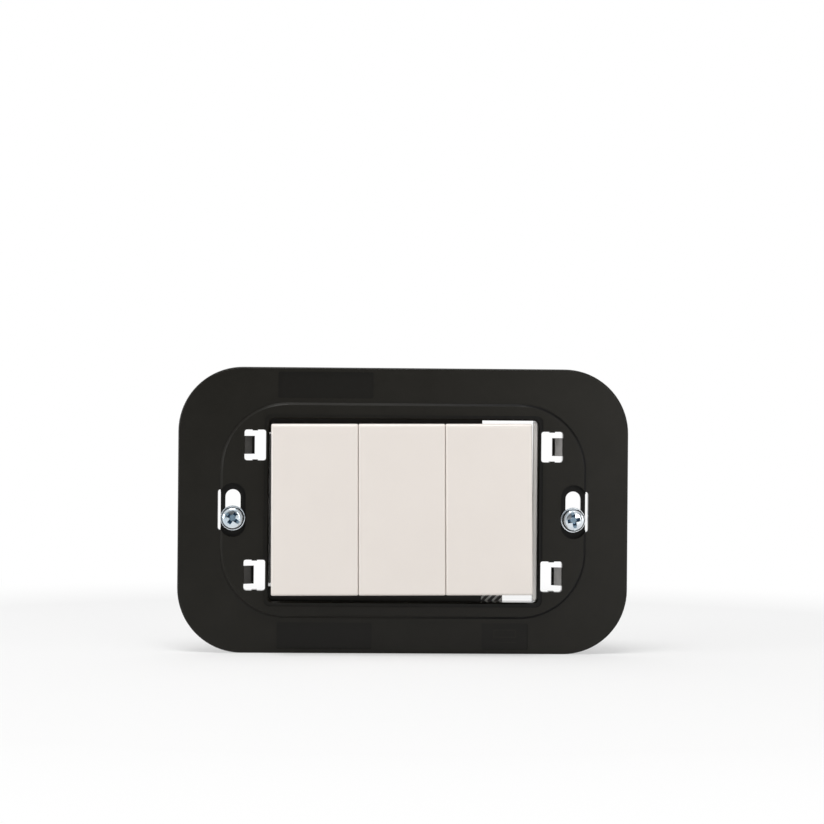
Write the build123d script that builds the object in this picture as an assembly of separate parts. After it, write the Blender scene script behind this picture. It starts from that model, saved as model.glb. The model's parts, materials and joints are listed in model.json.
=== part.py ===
from build123d import *
import math
import os

# Three-module mounting frame with rocker switches, for a wall box.
# Frame: X to the right, Z up, the front faces -Y. The origin is the middle of the
# plate on the wall plane, which is the flat back of the flange (y = 0).
# Millimetres throughout.

# --- allowances for cutting and fusing ---
CUT_OVERRUN = 1.0
FUSE_LAP = 0.2

# --- mounting frame: plate ---
PLATE_WIDTH = 110.4
PLATE_HEIGHT = 70.0
PLATE_CORNER = 15.8
FLANGE_THICKNESS = 2.0
FLANGE_EDGE = 0.5
PLATEAU_SIDE_BORDER = 11.85
PLATEAU_END_BORDER = 4.05
PLATEAU_CORNER = 16.4
PLATEAU_RISE = 0.8
PLATEAU_EDGE = 0.6
BACK_RELIEF_DEPTH = 0.6
BACK_RELIEF_BORDER = 2.4

# --- mounting frame: opening, sleeve and rails ---
OPENING_HEIGHT = 44.6
OPENING_CORNER = 1.2
OPENING_EDGE = 0.4
RIM_SIDE_BORDER = 1.15
RIM_END_BORDER = 1.15
RIM_DEPTH = 0.6
RIM_CORNER = 1.7
SIDE_WALL = 0.8
SIDE_WALL_DEPTH = 9.0
LEFT_WALL_DRAFT = 0.75
RIGHT_WALL_DRAFT = 0.35
END_WALL = 1.6
END_WALL_DEPTH = 3.5
RAIL_THICKNESS = 2.2
RAIL_REACH = 3.3
ENTRY_GAP = 13.55

# --- mounting frame: details on the front ---
PAD_WIDTH = 9.6
PAD_HEIGHT = 2.3
PAD_RISE = 0.3
WINDOW_WIDTH = 5.25
WINDOW_HEIGHT = 7.5
WINDOW_CORNER = 0.6
WINDOW_DROP = 6.4
TAB_REACH = 2.45
TAB_RAMP_TOP = 0.4
TAB_HEIGHT = 4.4
TAB_LIP = 0.7
NIB_WIDTH = 1.3
NIB_REACH = 0.22
LABEL_DEPTH = 0.35
LABEL_CORNER = 0.4
LONG_LABEL_WIDTH = 23.2
SHORT_LABEL_WIDTH = 11.3
LABEL_HEIGHT = 6.4
LONG_LABEL_X = -19.2
SHORT_LABEL_X = 25.1
MARK_LINE = 0.35
MARK_RISE = 0.12

# --- mounting screws and their slots ---
FIXING_BORDER = 8.8
SCREW_SIZE = 3.5
SCREW_LENGTH = 25.0
SCREW_HEAD = 5.6
SCREW_HEAD_HEIGHT = 2.3
SCREW_NECK = 3.2
RUNOUT_LENGTH = 0.6
RUNOUT_DEPTH = 0.3
SLOT_SIDE_CLEARANCE = 0.1
SLOT_TRAVEL = 3.15
SLOT_REST = -2.0
WASHER_THICKNESS = 0.5
WASHER_WALL = 1.05
WASHER_BORE_CLEARANCE = 0.25
WASHER_SIDE_CLEARANCE = 0.09
COUNTERBORE_DEPTH = 1.6
COUNTERBORE_RUN = 0.3
STACK_CLEARANCE = 0.05
CRESCENT_WIDTH = 0.65
CRESCENT_HEIGHT = 9.85
CRESCENT_LAP = 0.15

# --- switch modules: places ---
MODULE_NAMES = ("left", "middle", "right")
MODULE_PITCH = 21.1
LEFT_PLAY = 0.74
RIGHT_PLAY = 1.86
MODULE_GAP = 0.2
BODY_SIDE_STEP = 0.3
FLANGE_LAP = 1.0
RAIL_CLEARANCE = 0.4
HOOK_CLEARANCE = 0.1

# --- switch modules: housing and back cover ---
HOUSING_WALL = 1.5
HOUSING_DEPTH = 17.0
HOUSING_FRONT = 2.7
ROCKER_WINDOW_HEIGHT = 11.0
HOOK_THICKNESS = 3.0
LATCH_WIDTH = 8.6
LATCH_THICKNESS = 1.2
LATCH_GAP = 0.8
LATCH_ROOT = 2.0
LATCH_NOSE = 1.6
LATCH_END = 16.0
LATCH_HOLD = 0.4
GRIP_PITCH = 1.7
GRIP_WIDTH = 0.75
GRIP_DEPTH = 0.4
COVER_DEPTH = 11.5
COVER_REAR_WALL = 2.0
COVER_LAP = 1.2
COVER_FIT = 0.05
RIM_ROOT = 1.0
WIRE_ENTRY_WIDTH = 3.6
WIRE_ENTRY_HEIGHT = 3.4

# --- switch modules: key and rocker ---
KEY_END_CLEARANCE = 1.55
KEY_GAP = 0.2
KEY_DEPTH = 7.0
KEY_WALL = 1.4
KEY_CORNER = 0.5
KEY_EDGE = 0.45
KEY_FACE = -10.3
ROCK_ANGLE = 3.5
PIVOT_Y = 1.2
AXLE_RADIUS = 1.5
AXLE_CLEARANCE = 0.05
AXLE_SHORT = 0.25
BOSS_WALL = 1.0
ROCKER_SIDE_CLEARANCE = 0.35
CROWN_HEIGHT = 27.0
CROWN_SIDE_CLEARANCE = 1.05
CROWN_FRONT = -6.3
CROWN_THICKNESS = 1.5
WEB_THICKNESS = 1.5
WEB_HALF_HEIGHT = 4.0
POST_RADIUS = 1.4
POST_CLEARANCE = 0.05
POST_SHORT = 0.2
POST_PAD_RADIUS = 2.8
POST_INSET = 3.4
POST_Z = 9.5
STEM_RADIUS = 3.1
STEM_END = 5.2

# --- switch modules: plunger, spring and contact ---
PLUNGER_RADIUS = 1.9
PLUNGER_CLEARANCE = 0.06
PLUNGER_LENGTH = 5.6
PLUNGER_TIP = 7.6
SPRING_RADIUS = 1.35
SPRING_WIRE = 0.35
SPRING_TURNS = 6
BORE_END_WALL = 1.5
CONTACT_CLEARANCE = 0.25
CONTACT_ANGLE = 7.0
BAR_LENGTH = 15.0
BAR_WIDTH = 5.0
BAR_THICKNESS = 0.8
LUG_HEIGHT = 2.6
PIN_RADIUS = 0.6
PIN_CLEARANCE = 0.05
PIN_BEHIND_BAR = 1.0
EAR_CLEARANCE = 0.2
EAR_THICKNESS = 0.8
RIVET_RADIUS = 1.5
RIVET_THICKNESS = 0.6
RIVET_Z = 6.0
CLOSED_GAP = 0.12

# --- switch modules: terminals ---
STRIP_WIDTH = 4.8
STRIP_THICKNESS = 0.8
BRACKET_BEHIND_PIN = 1.9
BLOCK_SIDE_CLEARANCE = 1.15
BLOCK_HEIGHT = 7.0
BLOCK_DEPTH = 8.0
TERMINAL_SCREW_SIZE = 3.5
TERMINAL_SCREW_CLEARANCE = 0.05
TERMINAL_SCREW_LENGTH = 7.5
TERMINAL_HEAD = 5.8
TERMINAL_HEAD_HEIGHT = 1.7
HEAD_SIDE_CLEARANCE = 0.35

# --- sizes that follow from the values above ---
OPENING_WIDTH = len(MODULE_NAMES) * MODULE_PITCH + LEFT_PLAY + RIGHT_PLAY
GROUP_CENTRE = (LEFT_PLAY - RIGHT_PLAY) / 2
PLATEAU_WIDTH = OPENING_WIDTH + 2 * PLATEAU_SIDE_BORDER
PLATEAU_HEIGHT = OPENING_HEIGHT + 2 * PLATEAU_END_BORDER
FIXING_SPACING = OPENING_WIDTH + 2 * FIXING_BORDER
WINDOW_SPACING_X = OPENING_WIDTH + 2 * SIDE_WALL + WINDOW_WIDTH
WINDOW_SPACING_Z = OPENING_HEIGHT - 2 * WINDOW_DROP
LABEL_Z = (PLATE_HEIGHT + PLATEAU_HEIGHT) / 4
RIM_TOP = OPENING_HEIGHT / 2 + RIM_END_BORDER

PLATEAU_FRONT = -FLANGE_THICKNESS - PLATEAU_RISE
COUNTERBORE_FLOOR = PLATEAU_FRONT + COUNTERBORE_DEPTH
SHANK_RADIUS = SCREW_SIZE / 2
SLOT_WIDTH = SCREW_SIZE + 2 * SLOT_SIDE_CLEARANCE
WASHER_BORE = SHANK_RADIUS + WASHER_BORE_CLEARANCE
WASHER_RADIUS = WASHER_BORE + WASHER_WALL
COUNTERBORE_WIDTH = 2 * (WASHER_RADIUS + WASHER_SIDE_CLEARANCE)
WASHER_BACK = COUNTERBORE_FLOOR - STACK_CLEARANCE
WASHER_FRONT = WASHER_BACK - WASHER_THICKNESS
HEAD_BACK = WASHER_FRONT - STACK_CLEARANCE

RAIL_BACK = END_WALL_DEPTH
RAIL_FRONT = RAIL_BACK - RAIL_THICKNESS
RAIL_EDGE = OPENING_HEIGHT / 2 - RAIL_REACH
RAIL_END = OPENING_WIDTH / 2 - ENTRY_GAP

HOUSING_WIDTH = MODULE_PITCH - MODULE_GAP
BODY_WIDTH = HOUSING_WIDTH - 2 * BODY_SIDE_STEP
BODY_INSIDE = BODY_WIDTH / 2 - HOUSING_WALL
BODY_TOP = RAIL_EDGE - RAIL_CLEARANCE
BODY_TOP_INSIDE = BODY_TOP - HOUSING_WALL
LATCH_REACH = OPENING_HEIGHT / 2 + LATCH_HOLD
FLANGE_TOP = RAIL_EDGE + FLANGE_LAP
HOUSING_Y0 = RAIL_FRONT - HOUSING_FRONT
COVER_BACK = HOUSING_DEPTH + COVER_DEPTH
COVER_INSIDE = COVER_BACK - COVER_REAR_WALL

KEY_WIDTH = MODULE_PITCH - KEY_GAP
KEY_HEIGHT = OPENING_HEIGHT - 2 * KEY_END_CLEARANCE
CROWN_WIDTH = KEY_WIDTH - 2 * KEY_WALL - 2 * CROWN_SIDE_CLEARANCE
POST_X = CROWN_WIDTH / 2 - POST_INSET
CROWN_BACK = CROWN_FRONT + CROWN_THICKNESS
STEM_BORE = PLUNGER_RADIUS + PLUNGER_CLEARANCE
BORE_START = CROWN_BACK + BORE_END_WALL
BAR_FRONT = PLUNGER_TIP + CONTACT_CLEARANCE
BAR_BACK = BAR_FRONT + BAR_THICKNESS
PIN_Y = BAR_BACK + PIN_BEHIND_BAR
BRACKET_FRONT = PIN_Y + BRACKET_BEHIND_PIN
BLOCK_FRONT = COVER_INSIDE - BLOCK_DEPTH
BLOCK_Z = BODY_TOP_INSIDE - BLOCK_HEIGHT / 2
BLOCK_WIDTH = 2 * (BODY_INSIDE - BLOCK_SIDE_CLEARANCE)
TERMINAL_SCREW_X = -BLOCK_WIDTH / 4
WIRE_X = BLOCK_WIDTH / 4


def block(x0, x1, y0, y1, z0, z1):
    """Box between two opposite corners."""
    middle = Pos((x0 + x1) / 2, (y0 + y1) / 2, (z0 + z1) / 2)
    return middle * Box(abs(x1 - x0), abs(y1 - y0), abs(z1 - z0))


def slab(sketch, front, back):
    """Prism of a sketch drawn in X and Z, from y = front to y = back."""
    plane = Plane(origin=(0, back, 0), x_dir=(1, 0, 0), z_dir=(0, -1, 0))
    return extrude(plane * sketch, amount=back - front, dir=(0, -1, 0))


def side_slab(sketch, x0, x1):
    """Prism of a sketch drawn in Y and Z, from x = x0 to x = x1."""
    return extrude(Plane.YZ.offset(x0) * sketch, amount=x1 - x0, dir=(1, 0, 0))


def floor_slab(sketch, z0, z1):
    """Prism of a sketch drawn in X and Y, from z = z0 to z = z1."""
    return extrude(Plane.XY.offset(z0) * sketch, amount=z1 - z0, dir=(0, 0, 1))


def upright_slot(width, height):
    """Slot with round ends, standing upright."""
    return Rot(0, 0, 90) * SlotOverall(height, width)


def rock(shape, angle, y):
    """Turn a shape about an X axis that passes through y, at z = 0."""
    return shape.rotate(Axis((0, y, 0), (1, 0, 0)), angle)


# --- mounting frame ---
def plate():
    """Flange and raised plateau, with the relief on the back."""
    outline = RectangleRounded(PLATE_WIDTH, PLATE_HEIGHT, PLATE_CORNER)
    flange = slab(outline, -FLANGE_THICKNESS, 0)
    front_edges = flange.faces().sort_by(Axis.Y)[0].edges()
    flange = fillet(front_edges, FLANGE_EDGE)
    raised = RectangleRounded(PLATEAU_WIDTH, PLATEAU_HEIGHT, PLATEAU_CORNER)
    plateau = slab(raised, PLATEAU_FRONT, -FLANGE_THICKNESS / 2)
    plateau = chamfer(plateau.faces().sort_by(Axis.Y)[0].edges(), PLATEAU_EDGE)
    return flange + plateau


def back_relief():
    """Shallow hollows behind the top and bottom bands, one each side of a rib."""
    sleeve_top = OPENING_HEIGHT / 2 + END_WALL
    height = PLATE_HEIGHT / 2 - sleeve_top - 2 * BACK_RELIEF_BORDER
    width = PLATE_WIDTH / 2 - PLATE_CORNER - 2 * BACK_RELIEF_BORDER
    z = sleeve_top + BACK_RELIEF_BORDER + height / 2
    x = BACK_RELIEF_BORDER + width / 2
    hollow = RectangleRounded(width, height, height / 4)
    cut = Sketch()
    for sx in (-1, 1):
        for sz in (-1, 1):
            cut += Pos(sx * x, sz * z) * hollow
    return slab(cut, -BACK_RELIEF_DEPTH, 0)


def sleeve():
    """Walls behind the opening: deep at the two sides, short above and below."""
    x_in = OPENING_WIDTH / 2
    x_out = x_in + SIDE_WALL
    z_in = OPENING_HEIGHT / 2
    z_out = z_in + END_WALL
    middle = -FLANGE_THICKNESS / 2
    walls = Part()
    for s, draft in ((-1, LEFT_WALL_DRAFT), (1, RIGHT_WALL_DRAFT)):
        walls += block(-x_out, x_out, middle, END_WALL_DEPTH, s * z_in, s * z_out)
        drafted = Polygon(
            (s * x_in, middle),
            (s * x_out, middle),
            (s * x_out, SIDE_WALL_DEPTH),
            (s * (x_in - draft), SIDE_WALL_DEPTH),
            align=None,
        )
        walls += floor_slab(drafted, -z_out, z_out)
    return walls


def rails():
    """Lips that hold the modules, ending short of the entry gap on the right."""
    z_wall = OPENING_HEIGHT / 2
    x_wall = OPENING_WIDTH / 2
    both = Part()
    for s in (-1, 1):
        both += block(-x_wall, RAIL_END, RAIL_FRONT, RAIL_BACK, s * RAIL_EDGE, s * z_wall)
    return both


def clip_windows():
    """Four windows for the legs of a decorative cover, with nibs left in them."""
    shape = RectangleRounded(WINDOW_WIDTH, WINDOW_HEIGHT, WINDOW_CORNER)
    for s in (-1, 1):
        nib_z = s * (WINDOW_HEIGHT - NIB_REACH) / 2
        shape -= Pos(0, nib_z) * Rectangle(NIB_WIDTH, NIB_REACH)
    cut = Sketch()
    for sx in (-1, 1):
        for sz in (-1, 1):
            cut += Pos(sx * WINDOW_SPACING_X / 2, sz * WINDOW_SPACING_Z / 2) * shape
    return slab(cut, PLATEAU_FRONT - CUT_OVERRUN, CUT_OVERRUN)


def clip_tabs():
    """Ramped tabs that catch the cover's legs, from the outer side of each window."""
    tabs = Part()
    for sx in (-1, 1):
        root = sx * (WINDOW_SPACING_X + WINDOW_WIDTH) / 2
        tip = root - sx * TAB_REACH
        ramp = Polygon(
            (root, PLATEAU_FRONT + TAB_RAMP_TOP),
            (tip, -TAB_LIP),
            (tip, 0),
            (root, 0),
            align=None,
        )
        for sz in (-1, 1):
            low = sz * WINDOW_SPACING_Z / 2 - TAB_HEIGHT / 2
            tabs += floor_slab(ramp, low, low + TAB_HEIGHT)
    return tabs


def screw_slots():
    """Slot, counterbore and flexible outer wall for each mounting screw."""
    slot_height = SLOT_WIDTH + 2 * SLOT_TRAVEL
    bore_height = COUNTERBORE_WIDTH + 2 * (SLOT_TRAVEL + COUNTERBORE_RUN)
    inner = FIXING_SPACING / 2 + COUNTERBORE_WIDTH / 2 - CRESCENT_LAP
    crescent = Pos(inner + CRESCENT_WIDTH / 2, 0) * Rectangle(CRESCENT_WIDTH, CRESCENT_HEIGHT)
    outer_corners = crescent.vertices().sort_by(Axis.X)[2:]
    crescent = fillet(outer_corners, CRESCENT_WIDTH * 0.9)
    cut = Part()
    for s in (-1, 1):
        x = s * FIXING_SPACING / 2
        cut += slab(Pos(x, 0) * upright_slot(SLOT_WIDTH, slot_height), PLATEAU_FRONT - CUT_OVERRUN, CUT_OVERRUN)
        bore = Pos(x, 0) * upright_slot(COUNTERBORE_WIDTH, bore_height)
        cut += slab(bore, PLATEAU_FRONT - CUT_OVERRUN, COUNTERBORE_FLOOR)
        flipped = crescent if s > 0 else mirror(crescent, Plane.YZ)
        cut += slab(flipped, PLATEAU_FRONT - CUT_OVERRUN, CUT_OVERRUN)
    return cut


def label_pockets():
    """Three shallow plain pockets in the flange."""
    long_pocket = RectangleRounded(LONG_LABEL_WIDTH, LABEL_HEIGHT, LABEL_CORNER)
    short_pocket = RectangleRounded(SHORT_LABEL_WIDTH, LABEL_HEIGHT, LABEL_CORNER)
    cut = Pos(LONG_LABEL_X, LABEL_Z) * long_pocket
    cut += Pos(LONG_LABEL_X, -LABEL_Z) * long_pocket
    cut += Pos(SHORT_LABEL_X, -LABEL_Z) * short_pocket
    return slab(cut, -FLANGE_THICKNESS - CUT_OVERRUN, -FLANGE_THICKNESS + LABEL_DEPTH)


def pocket_mark():
    """Plain raised rectangle with a bar below it, on the floor of the short pocket."""
    width = SHORT_LABEL_WIDTH / 2
    height = LABEL_HEIGHT / 3
    ring = Rectangle(width, height)
    ring -= Rectangle(width - 2 * MARK_LINE, height - 2 * MARK_LINE)
    bar = Pos(0, -height) * Rectangle(width, MARK_LINE)
    mark = Pos(SHORT_LABEL_X, -LABEL_Z + height / 3) * (ring + bar)
    floor = -FLANGE_THICKNESS + LABEL_DEPTH
    return slab(mark, floor - MARK_RISE, floor + FUSE_LAP)


def centre_pads():
    """Small raised pads above and below the opening, in the middle of the plateau."""
    z = (RIM_TOP + PLATEAU_HEIGHT / 2 - PLATEAU_EDGE) / 2
    pads = Part()
    for s in (-1, 1):
        pad = Pos(0, s * z) * Rectangle(PAD_WIDTH, PAD_HEIGHT)
        pads += slab(pad, PLATEAU_FRONT - PAD_RISE, -FLANGE_THICKNESS)
    return pads


def opening_lead_in():
    """Sloping edge round the front of the opening."""
    corner = OPENING_CORNER + OPENING_EDGE
    width = OPENING_WIDTH + 2 * OPENING_EDGE
    height = OPENING_HEIGHT + 2 * OPENING_EDGE
    rim_floor = PLATEAU_FRONT + RIM_DEPTH
    wide = RectangleRounded(width, height, corner)
    cut = slab(wide, rim_floor - CUT_OVERRUN, rim_floor + OPENING_EDGE)
    return chamfer(cut.faces().sort_by(Axis.Y)[-1].edges(), OPENING_EDGE)


def mounting_frame():
    """The moulded support that screws to the wall box and carries the modules."""
    frame = plate() + centre_pads()
    opening = RectangleRounded(OPENING_WIDTH, OPENING_HEIGHT, OPENING_CORNER)
    rim_width = OPENING_WIDTH + 2 * RIM_SIDE_BORDER
    rim = RectangleRounded(rim_width, 2 * RIM_TOP, RIM_CORNER)
    frame -= slab(rim, PLATEAU_FRONT - CUT_OVERRUN, PLATEAU_FRONT + RIM_DEPTH)
    frame -= slab(opening, PLATEAU_FRONT - CUT_OVERRUN, CUT_OVERRUN)
    frame -= opening_lead_in()
    frame -= back_relief()
    frame += sleeve()
    frame += rails()
    frame -= clip_windows()
    frame += clip_tabs()
    frame -= screw_slots()
    frame -= label_pockets()
    frame += pocket_mark()
    return frame


# --- mounting screws ---
def cross_recess(radius, depth, y_face):
    """Cross cut into a screw head whose face is at y_face."""
    width = radius * 0.28
    reach = radius * 0.62
    arms = Rectangle(2 * reach, width) + Rectangle(width, 2 * reach)
    return slab(arms, y_face - CUT_OVERRUN, y_face + depth)


def mounting_screw(side):
    """Pan-head screw in its washer, with a run-out groove between neck and thread."""
    front = HEAD_BACK - SCREW_HEAD_HEIGHT
    head = slab(Circle(SCREW_HEAD / 2), front, HEAD_BACK)
    head = fillet(head.faces().sort_by(Axis.Y)[0].edges(), SCREW_HEAD_HEIGHT * 0.4)
    head -= cross_recess(SCREW_HEAD / 2, SCREW_HEAD_HEIGHT * 0.6, front)
    shank = slab(Circle(SHANK_RADIUS), HEAD_BACK - FUSE_LAP, HEAD_BACK + SCREW_LENGTH)
    shank = chamfer(shank.faces().sort_by(Axis.Y)[-1].edges(), SCREW_SIZE / 6)
    groove = Circle(SHANK_RADIUS + CUT_OVERRUN) - Circle(SHANK_RADIUS - RUNOUT_DEPTH)
    start = HEAD_BACK + SCREW_NECK
    shank -= slab(groove, start, start + RUNOUT_LENGTH)
    return Pos(side * FIXING_SPACING / 2, 0, SLOT_REST) * (head + shank)


def screw_washer(side):
    """Flat washer that slides with the screw along the counterbore."""
    ring = Circle(WASHER_RADIUS) - Circle(WASHER_BORE)
    place = Pos(side * FIXING_SPACING / 2, SLOT_REST)
    return slab(place * ring, WASHER_FRONT, WASHER_BACK)


# --- switch module ---
def latch():
    """Spring tongue under the housing whose nose snaps behind the lower rail."""
    half = LATCH_WIDTH / 2
    top = -BODY_TOP - LATCH_GAP
    low = top - LATCH_THICKNESS
    nose_y = RAIL_BACK + HOOK_CLEARANCE
    tongue = block(-half, half, nose_y, LATCH_END, low, top)
    tongue += block(-half, half, LATCH_END - LATCH_ROOT, LATCH_END, top, -BODY_TOP + HOUSING_WALL / 2)
    nose = Polygon(
        (nose_y, top),
        (nose_y, -LATCH_REACH),
        (nose_y + LATCH_NOSE / 2, -LATCH_REACH),
        (nose_y + 2 * LATCH_NOSE, low),
        (nose_y + 2 * LATCH_NOSE, top),
        align=None,
    )
    tongue += side_slab(nose, -half, half)
    height = LATCH_REACH + low
    grooves = Sketch()
    for i in range(-2, 3):
        groove = Rot(0, 0, -45) * Rectangle(GRIP_WIDTH, 4 * height)
        grooves += Pos(i * GRIP_PITCH, -LATCH_REACH + height / 2) * groove
    window = Pos(0, -LATCH_REACH + height / 2) * Rectangle(LATCH_WIDTH, height)
    return tongue - slab(grooves & window, nose_y - CUT_OVERRUN, nose_y + GRIP_DEPTH)


def housing():
    """Moulded module body: front flange, box, fixed hook above and latch below."""
    half = BODY_WIDTH / 2
    flange = slab(Rectangle(HOUSING_WIDTH, 2 * FLANGE_TOP), HOUSING_Y0, RAIL_FRONT)
    body = block(-half, half, RAIL_FRONT, HOUSING_DEPTH, -BODY_TOP, BODY_TOP)
    inside_front = HOUSING_Y0 + HOUSING_WALL
    shell = flange + body
    shell -= block(
        -BODY_INSIDE, BODY_INSIDE, inside_front, HOUSING_DEPTH, -BODY_TOP_INSIDE, BODY_TOP_INSIDE
    )
    window = Rectangle(2 * BODY_INSIDE, ROCKER_WINDOW_HEIGHT)
    shell -= slab(window, HOUSING_Y0 - CUT_OVERRUN, inside_front + CUT_OVERRUN)
    hook_y = RAIL_BACK + HOOK_CLEARANCE
    hook_half = LATCH_WIDTH / 2
    hook_back = hook_y + HOOK_THICKNESS
    hook_root = BODY_TOP - HOUSING_WALL / 2
    shell += block(-hook_half, hook_half, hook_y, hook_back, hook_root, FLANGE_TOP)
    shell += latch()
    bearing = Pos(PIVOT_Y, 0) * Circle(AXLE_RADIUS + AXLE_CLEARANCE)
    return shell - side_slab(bearing, -half - CUT_OVERRUN, half + CUT_OVERRUN)


def back_cover():
    """Rear shell that encloses the terminals, with screw and wire holes."""
    half = BODY_WIDTH / 2
    cover = block(-half, half, HOUSING_DEPTH, COVER_BACK, -BODY_TOP, BODY_TOP)
    cover = fillet(cover.faces().sort_by(Axis.Y)[-1].edges(), HOUSING_WALL / 2)
    cover -= block(
        -BODY_INSIDE, BODY_INSIDE, HOUSING_DEPTH, COVER_INSIDE, -BODY_TOP_INSIDE, BODY_TOP_INSIDE
    )
    tongue_x = BODY_INSIDE - COVER_FIT
    tongue_z = BODY_TOP_INSIDE - COVER_FIT
    rim = block(-tongue_x, tongue_x, HOUSING_DEPTH - COVER_LAP, HOUSING_DEPTH, -tongue_z, tongue_z)
    root_x = BODY_INSIDE + HOUSING_WALL / 2
    root_z = BODY_TOP_INSIDE + HOUSING_WALL / 2
    rim += block(-root_x, root_x, HOUSING_DEPTH, HOUSING_DEPTH + RIM_ROOT, -root_z, root_z)
    hollow_x = tongue_x - HOUSING_WALL / 2
    hollow_z = tongue_z - HOUSING_WALL / 2
    rim -= block(-hollow_x, hollow_x, 0, COVER_INSIDE, -hollow_z, hollow_z)
    cover += rim
    head_hole = TERMINAL_HEAD / 2 + HEAD_SIDE_CLEARANCE
    for s in (-1, 1):
        hole = Pos(TERMINAL_SCREW_X, s * BLOCK_Z) * Circle(head_hole)
        entry = Pos(WIRE_X, s * BLOCK_Z) * Rectangle(WIRE_ENTRY_WIDTH, WIRE_ENTRY_HEIGHT)
        cover -= slab(hole + entry, COVER_INSIDE - CUT_OVERRUN, COVER_BACK + CUT_OVERRUN)
    return cover


def key():
    """Rocker key: a shallow cap with posts that plug into the rocker."""
    back = KEY_FACE + KEY_DEPTH
    cap = block(-KEY_WIDTH / 2, KEY_WIDTH / 2, KEY_FACE, back, -KEY_HEIGHT / 2, KEY_HEIGHT / 2)
    cap = fillet(cap.edges().filter_by(Axis.Y), KEY_CORNER)
    face_edges = cap.faces().sort_by(Axis.Y)[0].edges()
    cap = fillet(face_edges, KEY_EDGE)
    inside_x = KEY_WIDTH / 2 - KEY_WALL
    inside_z = KEY_HEIGHT / 2 - KEY_WALL
    inner_face = KEY_FACE + KEY_WALL
    cap -= block(-inside_x, inside_x, inner_face, back + CUT_OVERRUN, -inside_z, inside_z)
    for sx in (-1, 1):
        for sz in (-1, 1):
            place = Pos(sx * POST_X, sz * POST_Z)
            cap += slab(place * Circle(POST_RADIUS), inner_face - FUSE_LAP, CROWN_BACK - POST_SHORT)
            cap += slab(place * Circle(POST_PAD_RADIUS), inner_face - FUSE_LAP, CROWN_FRONT)
    return rock(cap, -ROCK_ANGLE, PIVOT_Y)


def rocker():
    """Pivoting carrier under the key, with two axles and the plunger's bore."""
    crown = slab(Rectangle(CROWN_WIDTH, CROWN_HEIGHT), CROWN_FRONT, CROWN_BACK)
    for sx in (-1, 1):
        for sz in (-1, 1):
            hole = Pos(sx * POST_X, sz * POST_Z) * Circle(POST_RADIUS + POST_CLEARANCE)
            crown -= slab(hole, CROWN_FRONT - CUT_OVERRUN, CROWN_BACK + CUT_OVERRUN)
    outer = BODY_INSIDE - ROCKER_SIDE_CLEARANCE
    boss = AXLE_RADIUS + BOSS_WALL
    web = Polygon(
        (CROWN_BACK - FUSE_LAP, -WEB_HALF_HEIGHT),
        (CROWN_BACK - FUSE_LAP, WEB_HALF_HEIGHT),
        (PIVOT_Y, boss),
        (PIVOT_Y + boss, 0),
        (PIVOT_Y, -boss),
        align=None,
    )
    axle = Pos(PIVOT_Y, 0) * Circle(AXLE_RADIUS)
    axle_end = BODY_WIDTH / 2 - AXLE_SHORT
    body = crown
    body += slab(Rectangle(2 * outer, 2 * WEB_HALF_HEIGHT), CROWN_FRONT, CROWN_BACK)
    for s in (-1, 1):
        near, far = sorted((s * outer, s * (outer - WEB_THICKNESS)))
        body += side_slab(web, near, far)
        near, far = sorted((s * (outer - WEB_THICKNESS), s * axle_end))
        body += side_slab(axle, near, far)
    body += slab(Circle(STEM_RADIUS), CROWN_BACK - FUSE_LAP, STEM_END)
    rib = Rectangle(2 * outer, HOUSING_WALL)
    body += slab(rib, CROWN_BACK - FUSE_LAP, PIVOT_Y)
    body -= slab(Circle(STEM_BORE), BORE_START, STEM_END + CUT_OVERRUN)
    return rock(body, -ROCK_ANGLE, PIVOT_Y)


def plunger():
    """Round-nosed plunger that slides in the rocker's bore."""
    start = PLUNGER_TIP - PLUNGER_LENGTH
    pin = slab(Circle(PLUNGER_RADIUS), start, PLUNGER_TIP)
    pin = fillet(pin.faces().sort_by(Axis.Y)[-1].edges(), PLUNGER_RADIUS * 0.7)
    return rock(pin, -ROCK_ANGLE, PIVOT_Y)


def plunger_spring():
    """Compression spring between the end of the bore and the plunger."""
    start = BORE_START + SPRING_WIRE / 2
    length = PLUNGER_TIP - PLUNGER_LENGTH - SPRING_WIRE / 2 - start
    path = Helix(length / SPRING_TURNS, length, SPRING_RADIUS)
    section = Plane(path @ 0, z_dir=path % 0) * Circle(SPRING_WIRE / 2)
    coil = Rot(-90, 0, 0) * sweep(section, path)
    return rock(Pos(0, start, 0) * coil, -ROCK_ANGLE, PIVOT_Y)


def moving_contact():
    """Seesaw bar with its pivot lug and one contact rivet."""
    bar = slab(Rectangle(BAR_WIDTH, BAR_LENGTH), BAR_FRONT, BAR_BACK)
    lug_back = PIN_Y + PIN_BEHIND_BAR
    bar += slab(Rectangle(BAR_WIDTH, LUG_HEIGHT), BAR_BACK, lug_back)
    bore = Pos(PIN_Y, 0) * Circle(PIN_RADIUS + PIN_CLEARANCE)
    bar -= side_slab(bore, -BAR_WIDTH, BAR_WIDTH)
    bar += slab(Pos(0, RIVET_Z) * Circle(RIVET_RADIUS), BAR_BACK, BAR_BACK + RIVET_THICKNESS)
    return rock(bar, CONTACT_ANGLE, PIN_Y)


def terminal_block(s):
    """Brass block of the upper (1) or lower (-1) terminal, still without its holes."""
    brass = Pos(0, s * BLOCK_Z) * Rectangle(BLOCK_WIDTH, BLOCK_HEIGHT)
    return slab(brass, BLOCK_FRONT, COVER_INSIDE)


def terminal_holes(s):
    """Screw hole and wire hole through a terminal block."""
    thread = TERMINAL_SCREW_SIZE / 2 + TERMINAL_SCREW_CLEARANCE
    holes = Pos(TERMINAL_SCREW_X, s * BLOCK_Z) * Circle(thread)
    holes += Pos(WIRE_X, s * BLOCK_Z) * Rectangle(WIRE_ENTRY_WIDTH, WIRE_ENTRY_HEIGHT)
    return slab(holes, BLOCK_FRONT - STRIP_THICKNESS, COVER_INSIDE + CUT_OVERRUN)


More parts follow.
